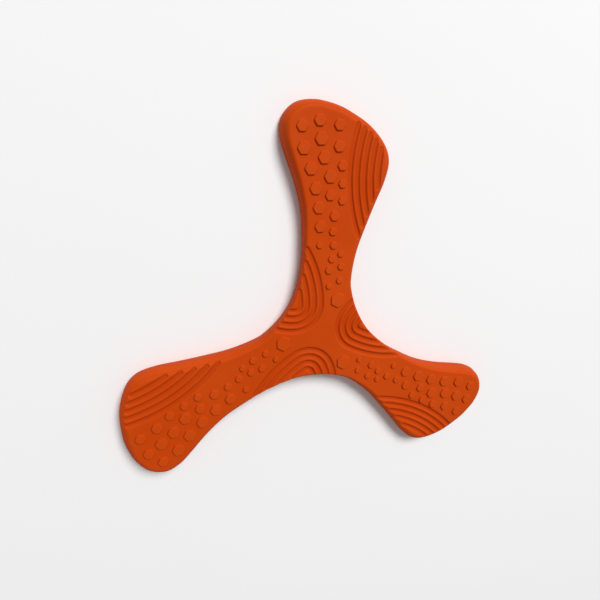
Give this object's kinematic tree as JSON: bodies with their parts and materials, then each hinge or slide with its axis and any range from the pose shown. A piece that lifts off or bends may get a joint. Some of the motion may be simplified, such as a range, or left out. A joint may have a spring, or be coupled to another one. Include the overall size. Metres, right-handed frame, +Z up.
{
  "type": "boomerang",
  "caption": "Throwing boomerang moulded in rubber: flared blades set evenly around a small hub, hexagonal studs and raised ribs on the top face, flat underside.",
  "frame": {"origin": "centre of the hub on the flat underside", "axes": "+Z up out of the studded face; +Y along blade a, from the hub to its tip"},
  "size_m": [0.2728, 0.2521, 0.0151],
  "materials": {
    "rubber": "satin orange moulded rubber"
  },
  "bodies": {
    "root": {"hub": "rubber", "hub_pads": "rubber", "blade_a": "rubber", "blade_b": "rubber", "blade_c": "rubber", "studs_a": "rubber", "studs_b": "rubber", "studs_c": "rubber", "tip_ribs_a": "rubber", "tip_ribs_b": "rubber", "tip_ribs_c": "rubber", "root_ribs_ab": "rubber", "root_ribs_bc": "rubber", "root_ribs_ca": "rubber"}
  },
  "joints": []
}
